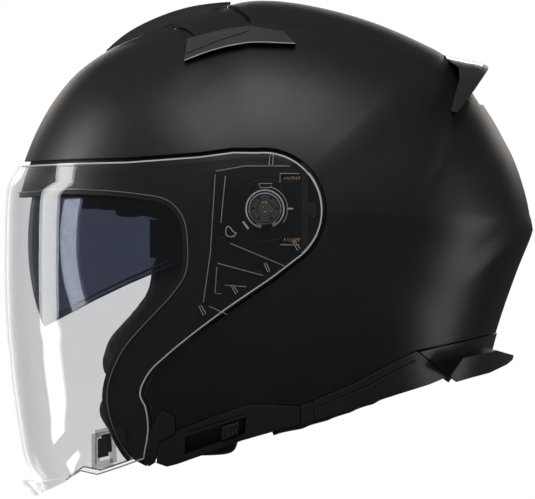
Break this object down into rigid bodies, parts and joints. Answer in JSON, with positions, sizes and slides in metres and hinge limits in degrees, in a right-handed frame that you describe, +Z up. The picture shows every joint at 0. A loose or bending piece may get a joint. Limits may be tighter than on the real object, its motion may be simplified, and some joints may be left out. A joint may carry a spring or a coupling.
{
  "type": "open face motorcycle helmet",
  "caption": "Black open face motorcycle helmet with a long clear visor, an inner sun visor on a side slider, a top vent, a rear spoiler and a padded lining.",
  "frame": {"origin": "on the mid-plane, on the axis that the clear visor turns about; the head the helmet is worn on is centred there", "axes": "+X to the back of the helmet, +Y to the wearer's right, +Z up; the wearer's left is the -Y side"},
  "size_m": [0.3038, 0.2562, 0.287],
  "materials": {
    "matte_paint": "matte black paint",
    "gloss_black": "gloss black",
    "satin_black": "satin black",
    "foam": "moulded foam",
    "lining_fabric": "brushed padded fabric",
    "gasket_rubber": "soft black",
    "clear_visor": "clear polished",
    "smoke_visor": "blue-grey smoke tint",
    "steel": "zinc plated",
    "copper": "copper coloured wire",
    "webbing": "woven strap",
    "webbed_plastic": "toothed plastic",
    "lever_red": "red plastic"
  },
  "bodies": {
    "helmet": {"outer_shell": "matte_paint", "foam_liner": "foam", "crown_liner": "lining_fabric", "neck_roll": "lining_fabric", "eye_gasket": "gasket_rubber", "slider_housing_left": "satin_black", "side_trim_right": "satin_black", "neck_piece": "satin_black", "vent_ridge": "gloss_black", "spoiler_body": "satin_black", "spoiler_lens": "smoke_visor", "exhaust_grille": "satin_black", "control_cable": "gasket_rubber", "buckle_body": "steel", "ratchet_tongue": "webbed_plastic", "cheek_pad_left": "lining_fabric", "cheek_pad_right": "lining_fabric", "pivot_base_left": "satin_black", "pivot_base_right": "satin_black", "pivot_hub_left": "satin_black", "pivot_hub_right": "satin_black", "pivot_bolt_left": "steel", "pivot_bolt_right": "steel", "release_spring_upper_left": "copper", "release_spring_upper_right": "copper", "release_spring_lower_left": "copper", "release_spring_lower_right": "copper", "latch_post_left": "satin_black", "latch_post_right": "satin_black", "sun_visor_pin_left": "steel", "sun_visor_pin_right": "steel", "front_cap_left": "satin_black", "front_cap_right": "satin_black", "joint_clip_left": "satin_black", "joint_clip_right": "satin_black", "rear_trim_left": "satin_black", "rear_trim_right": "satin_black", "vent_wing_left": "gloss_black", "vent_wing_right": "gloss_black", "strap_anchor_left": "steel", "strap_anchor_right": "steel", "strap_left": "webbing", "strap_right": "webbing"},
    "visor": {"clear_visor": "clear_visor", "latch_frame_left": "clear_visor", "latch_frame_right": "clear_visor"},
    "latch_left": {"visor_latch_left": "satin_black"},
    "latch_right": {"visor_latch_right": "satin_black"},
    "drop_visor": {"sun_visor": "smoke_visor"},
    "slider": {"sun_visor_knob": "satin_black"},
    "shutter": {"vent_shutter": "matte_paint"},
    "release_left": {"visor_release_left": "satin_black"},
    "release_right": {"visor_release_right": "satin_black"},
    "lever": {"buckle_lever": "lever_red"}
  },
  "joints": [
    {"name": "visor_hinge", "type": "hinge", "parent": "helmet", "child": "visor", "pos_m": [0, 0, 0], "axis": [0, 1, 0], "range_deg": [0, 55]},
    {"name": "sun_visor_hinge", "type": "hinge", "parent": "helmet", "child": "drop_visor", "pos_m": [0.0042, 0, -0.0188], "axis": [0, 1, 0], "range_deg": [0, 32]},
    {"name": "sun_visor_slide", "type": "slide", "parent": "helmet", "child": "slider", "axis": [-0.9377, 0.1609, -0.3079], "range_m": [0, 0.02]},
    {"name": "vent_slide", "type": "slide", "parent": "helmet", "child": "shutter", "axis": [-0.9629, 0, -0.27], "range_m": [0, 0.004]},
    {"name": "buckle_hinge", "type": "hinge", "parent": "helmet", "child": "lever", "pos_m": [-0.0075, 0.008, -0.1263], "axis": [0.9781, 0, -0.208], "range_deg": [0, 50], "stiffness_Nm_per_rad": 0.05},
    {"name": "visor_latch_slide_left", "type": "slide", "parent": "visor", "child": "latch_left", "axis": [0, 0.5, -0.866], "range_m": [0, 0.003], "stiffness_N_per_m": 300},
    {"name": "visor_release_slide_left", "type": "slide", "parent": "helmet", "child": "release_left", "axis": [-1, 0, 0], "range_m": [0, 0.0025], "stiffness_N_per_m": 600, "deforming": ["release_spring_upper_left", "release_spring_lower_left"]},
    {"name": "visor_latch_slide_right", "type": "slide", "parent": "visor", "child": "latch_right", "axis": [0, -0.5, -0.866], "range_m": [0, 0.003], "stiffness_N_per_m": 300},
    {"name": "visor_release_slide_right", "type": "slide", "parent": "helmet", "child": "release_right", "axis": [-1, 0, 0], "range_m": [0, 0.0025], "stiffness_N_per_m": 600, "deforming": ["release_spring_upper_right", "release_spring_lower_right"]}
  ],
  "couplings": [
    {"joint": "sun_visor_slide", "follows": "sun_visor_hinge", "m_per_rad": 0.035806}
  ]
}
